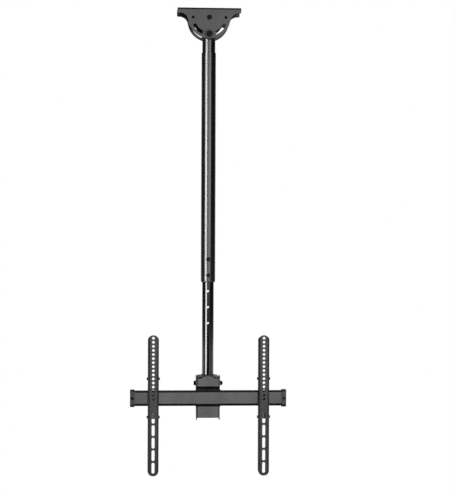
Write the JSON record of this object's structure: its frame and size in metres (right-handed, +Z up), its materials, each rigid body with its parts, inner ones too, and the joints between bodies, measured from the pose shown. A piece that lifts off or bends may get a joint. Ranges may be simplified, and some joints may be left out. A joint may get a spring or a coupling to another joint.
{
  "type": "tv ceiling mount",
  "caption": "Telescopic ceiling pole with a leaning ceiling bracket, a swivelling and tilting head, and a cross rail with sliding upright screen arms.",
  "frame": {"origin": "centre of the ceiling plate's top face, where it meets the ceiling", "axes": "+Z up into the ceiling, the pole hangs along -Z, the screen side faces -Y, +X along the rail"},
  "size_m": [0.484, 0.1271, 1.4476],
  "materials": {
    "powder_coat": "satin black powder coat",
    "black_steel": "blackened steel",
    "zinc_steel": "bright zinc",
    "black_plastic": "moulded black plastic"
  },
  "bodies": {
    "ceiling": {"ceiling_bracket": "powder_coat", "pivot_bolt": "black_steel", "pivot_nut": "black_steel", "pivot_washers": "black_steel"},
    "upper_pole": {"fork": "powder_coat", "fork_shims": "black_plastic", "neck_tube": "powder_coat", "neck_screws": "black_steel", "outer_tube": "powder_coat", "guide_bush": "black_plastic", "screw_bosses": "powder_coat", "height_lock_screws": "black_steel", "lean_lock_bolt": "black_steel", "lean_lock_nut": "black_steel", "lean_lock_washers": "black_steel"},
    "lower_pole": {"inner_tube": "powder_coat", "slide_ring": "black_plastic", "tube_end_plug": "zinc_steel", "friction_washer": "black_plastic", "swivel_bolt": "black_steel", "swivel_washer": "black_steel"},
    "swivel_head": {"yoke": "powder_coat"},
    "tilt_head": {"tilt_plate": "powder_coat", "tilt_pivot_bolt": "black_steel", "tilt_pivot_nut": "black_steel", "tilt_lock_bolt": "black_steel", "tilt_lock_nut": "black_steel", "tilt_washers": "black_steel", "tilt_spacers": "black_plastic", "rail": "powder_coat", "rail_saddle": "powder_coat", "rail_screws": "black_steel", "rail_nuts": "zinc_steel", "rail_end_cap_left": "black_plastic", "rail_end_cap_right": "black_plastic", "cap_screws": "black_steel"},
    "left_arm": {"left_arm_channel": "powder_coat", "left_arm_hook": "powder_coat", "left_cross_bolts": "black_steel", "left_cross_nuts": "black_steel", "left_arm_lock_screw": "black_steel", "left_arm_weld_nut": "zinc_steel"},
    "right_arm": {"right_arm_channel": "powder_coat", "right_arm_hook": "powder_coat", "right_cross_bolts": "black_steel", "right_cross_nuts": "black_steel", "right_arm_lock_screw": "black_steel", "right_arm_weld_nut": "zinc_steel"}
  },
  "joints": [
    {"name": "ceiling_lean", "type": "hinge", "parent": "ceiling", "child": "upper_pole", "pos_m": [0, 0, -0.03], "axis": [0, 1, 0], "range_deg": [-60, 60]},
    {"name": "pole_height", "type": "slide", "parent": "upper_pole", "child": "lower_pole", "axis": [0, 0, 1], "range_m": [-0.35, 0.15]},
    {"name": "head_swivel", "type": "hinge", "parent": "lower_pole", "child": "swivel_head", "pos_m": [0, 0, -1.1431], "axis": [0, 0, 1], "continuous": true},
    {"name": "screen_tilt", "type": "hinge", "parent": "swivel_head", "child": "tilt_head", "pos_m": [0, 0, -1.1681], "axis": [1, 0, 0], "range_deg": [-5, 20]},
    {"name": "left_arm_slide", "type": "slide", "parent": "tilt_head", "child": "left_arm", "axis": [-1, 0, 0], "range_m": [-0.1005, 0.0345]},
    {"name": "right_arm_slide", "type": "slide", "parent": "tilt_head", "child": "right_arm", "axis": [1, 0, 0], "range_m": [-0.1005, 0.0345]}
  ]
}
